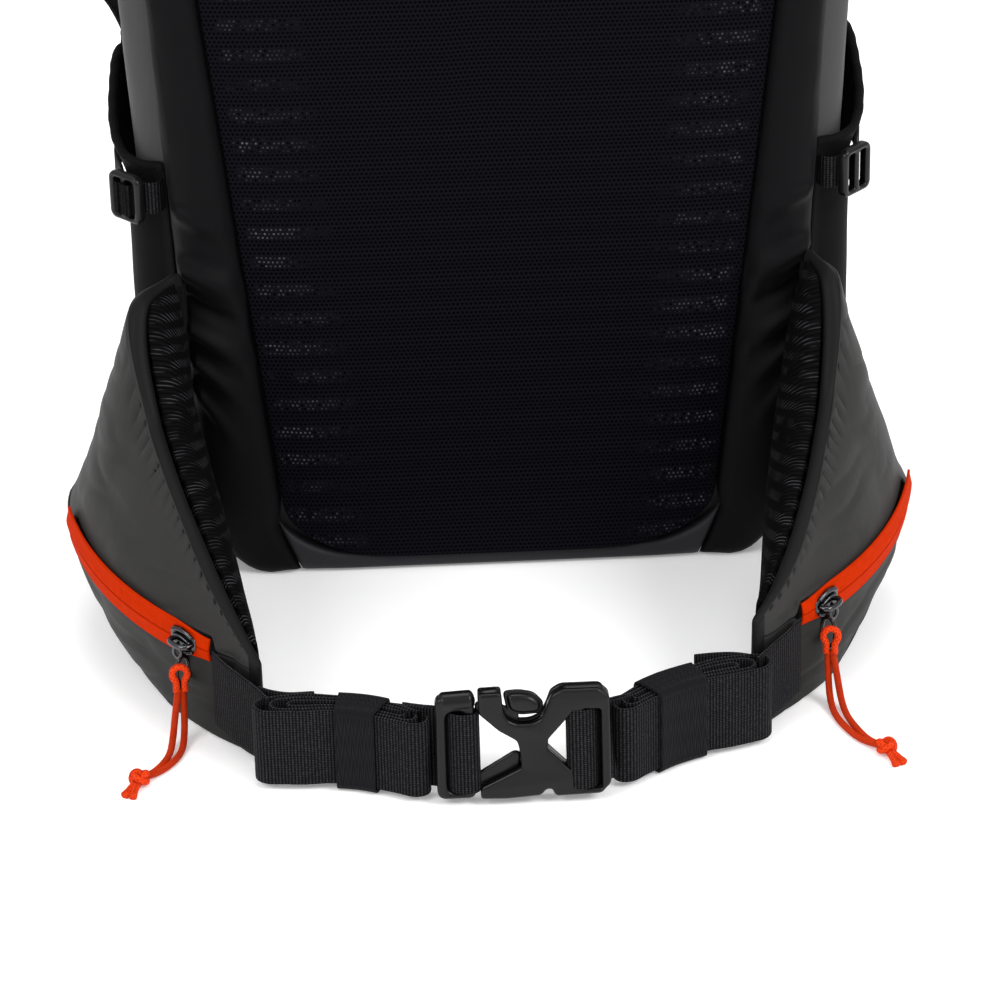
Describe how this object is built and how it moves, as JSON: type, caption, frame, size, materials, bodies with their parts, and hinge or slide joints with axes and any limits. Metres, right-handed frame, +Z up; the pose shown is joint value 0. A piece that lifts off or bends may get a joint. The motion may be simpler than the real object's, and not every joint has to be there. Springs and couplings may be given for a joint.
{
  "type": "avalanche airbag backpack",
  "caption": "Ski touring pack with an airbag system inside, mesh back panel, padded hip belt with zipped pockets, folded webbing and a side-release buckle.",
  "frame": {"origin": "middle of the pack's box, on the surface it stands on, the free pull cords left out", "axes": "+Z up, the back panel and hip belt face -Y, +X is the wearer's left"},
  "size_m": [0.4018, 0.4184, 0.604],
  "materials": {
    "side_fabric": "woven ripstop shell fabric with a soft sheen",
    "border_fabric": "smooth charcoal coated fabric",
    "band_fabric": "dense woven fabric",
    "panel_fabric": "woven shell fabric",
    "spacer_mesh": "open 3-D spacer mesh",
    "foam": "closed-cell foam",
    "stretch_fabric": "four-way stretch fabric",
    "webbing": "ribbed woven webbing",
    "elastic": "fine herringbone elastic",
    "pocket_upper": "woven shell fabric",
    "pocket_lower": "woven shell fabric",
    "zip_orange": "orange-red zip tape and coil",
    "cord_orange": "braided orange cord",
    "buckle_plastic": "satin moulded plastic",
    "sheet_plastic": "translucent white sheet",
    "stay_metal": "flat bar",
    "zip_metal": "gunmetal",
    "wire_metal": "gunmetal wire",
    "cartridge_paint": "gloss paint",
    "head_metal": "machined",
    "hose_rubber": "smooth hose",
    "airbag_fabric": "coated nylon",
    "trigger_plastic": "moulded grip"
  },
  "bodies": {
    "pack": {"bag_shell": "side_fabric", "main_zip": "zip_orange", "back_mesh": "spacer_mesh", "back_foam": "foam", "bottom_band": "band_fabric", "frame_sheet": "sheet_plastic", "frame_stay": "stay_metal", "gas_cartridge": "cartridge_paint", "trigger_head": "head_metal", "inflation_hose": "hose_rubber", "trigger_cable": "hose_rubber", "airbag_folded": "airbag_fabric", "haul_loop": "webbing", "shoulder_yoke": "border_fabric", "border_wing_left": "border_fabric", "side_pocket_left": "stretch_fabric", "compression_strap_left": "webbing", "ladder_lock_left": "buckle_plastic", "border_wing_right": "border_fabric", "side_pocket_right": "stretch_fabric", "compression_strap_right": "webbing", "ladder_lock_right": "buckle_plastic"},
    "front_flap": {"front_panel": "panel_fabric"},
    "main_slider": {"main_zip_slider": "zip_metal"},
    "burst_cover": {"airbag_cover": "border_fabric"},
    "trigger": {"trigger_handle": "trigger_plastic"},
    "prong_upper": {"buckle_prong_upper": "buckle_plastic"},
    "prong_lower": {"buckle_prong_lower": "buckle_plastic"},
    "strap_left": {"shoulder_strap_left": "border_fabric", "strap_webbing_left": "webbing", "strap_ladder_left": "buckle_plastic", "sternum_strap_left": "webbing"},
    "wing_left": {"hip_fin_left": "border_fabric", "hip_pad_left": "spacer_mesh", "hip_pocket_upper_left": "pocket_upper", "hip_pocket_lower_left": "pocket_lower", "hip_zip_left": "zip_orange", "belt_webbing_left": "webbing", "belt_keeper_left": "elastic", "buckle_male": "buckle_plastic"},
    "slider_left": {"zip_slider_left": "zip_metal"},
    "puller_left": {"zip_puller_left": "wire_metal", "pull_cord_left": "cord_orange"},
    "strap_right": {"shoulder_strap_right": "border_fabric", "strap_webbing_right": "webbing", "strap_ladder_right": "buckle_plastic", "sternum_strap_right": "webbing", "trigger_sleeve": "border_fabric"},
    "wing_right": {"hip_fin_right": "border_fabric", "hip_pad_right": "spacer_mesh", "hip_pocket_upper_right": "pocket_upper", "hip_pocket_lower_right": "pocket_lower", "hip_zip_right": "zip_orange", "belt_webbing_right": "webbing", "belt_keeper_right": "elastic", "buckle_female": "buckle_plastic"},
    "slider_right": {"zip_slider_right": "zip_metal"},
    "puller_right": {"zip_puller_right": "wire_metal", "pull_cord_right": "cord_orange"}
  },
  "joints": [
    {"name": "hip_wing_right", "type": "hinge", "parent": "pack", "child": "wing_right", "pos_m": [0.15025, 0.0085, 0.08], "axis": [0, 0, 1], "range_deg": [0, 45]},
    {"name": "hip_wing_left", "type": "hinge", "parent": "pack", "child": "wing_left", "pos_m": [-0.14275, 0.0085, 0.08], "axis": [0, 0, 1], "range_deg": [-45, 0]},
    {"name": "zip_left", "type": "hinge", "parent": "wing_left", "child": "slider_left", "pos_m": [-0.01175, 0.0065, 0.05976], "axis": [0, 0.0797, -0.9968], "range_deg": [0, 30]},
    {"name": "puller_left", "type": "hinge", "parent": "slider_left", "child": "puller_left", "pos_m": [-0.14734, -0.13392, 0.04113], "axis": [-0.7193, 0.6947, 0], "range_deg": [0, 75]},
    {"name": "strap_swing_left", "type": "hinge", "parent": "pack", "child": "strap_left", "pos_m": [-0.16225, 0.1075, 0.118], "axis": [0.1561, -0.2589, 0.9532], "range_deg": [0, 85]},
    {"name": "zip_right", "type": "hinge", "parent": "wing_right", "child": "slider_right", "pos_m": [0.02025, 0.0065, 0.05976], "axis": [0, -0.0797, 0.9968], "range_deg": [0, 30]},
    {"name": "puller_right", "type": "hinge", "parent": "slider_right", "child": "puller_right", "pos_m": [0.14866, -0.12417, 0.04191], "axis": [-0.7132, -0.7009, 0], "range_deg": [0, 75]},
    {"name": "strap_swing_right", "type": "hinge", "parent": "pack", "child": "strap_right", "pos_m": [0.17075, 0.1075, 0.118], "axis": [0.1561, 0.2589, -0.9532], "range_deg": [0, 85]},
    {"name": "trigger_pull", "type": "slide", "parent": "strap_right", "child": "trigger", "axis": [0.0521, 0.2078, -0.9768], "range_m": [0, 0.025]},
    {"name": "front_flap", "type": "hinge", "parent": "pack", "child": "front_flap", "pos_m": [0.00425, 0.1941, 0.0646], "axis": [-1, 0, 0], "range_deg": [0, 65]},
    {"name": "main_zip_pull", "type": "slide", "parent": "pack", "child": "main_slider", "axis": [1, 0, 0], "range_m": [0, 0.1]},
    {"name": "burst_cover", "type": "hinge", "parent": "pack", "child": "burst_cover", "pos_m": [0.00425, 0.1519, 0.56], "axis": [-1, 0, 0], "range_deg": [0, 100]},
    {"name": "prong_upper", "type": "hinge", "parent": "wing_left", "child": "prong_upper", "pos_m": [-0.01715, -0.1966, 0.04205], "axis": [0, 0.9848, -0.1736], "range_deg": [0, 6], "stiffness_Nm_per_rad": 0.4},
    {"name": "prong_lower", "type": "hinge", "parent": "wing_left", "child": "prong_lower", "pos_m": [-0.01715, -0.20153, 0.01408], "axis": [0, 0.9848, -0.1736], "range_deg": [-6, 0], "stiffness_Nm_per_rad": 0.4}
  ],
  "couplings": [
    {"joint": "hip_wing_left", "follows": "hip_wing_right", "ratio": -1},
    {"joint": "prong_lower", "follows": "prong_upper", "ratio": -1}
  ]
}
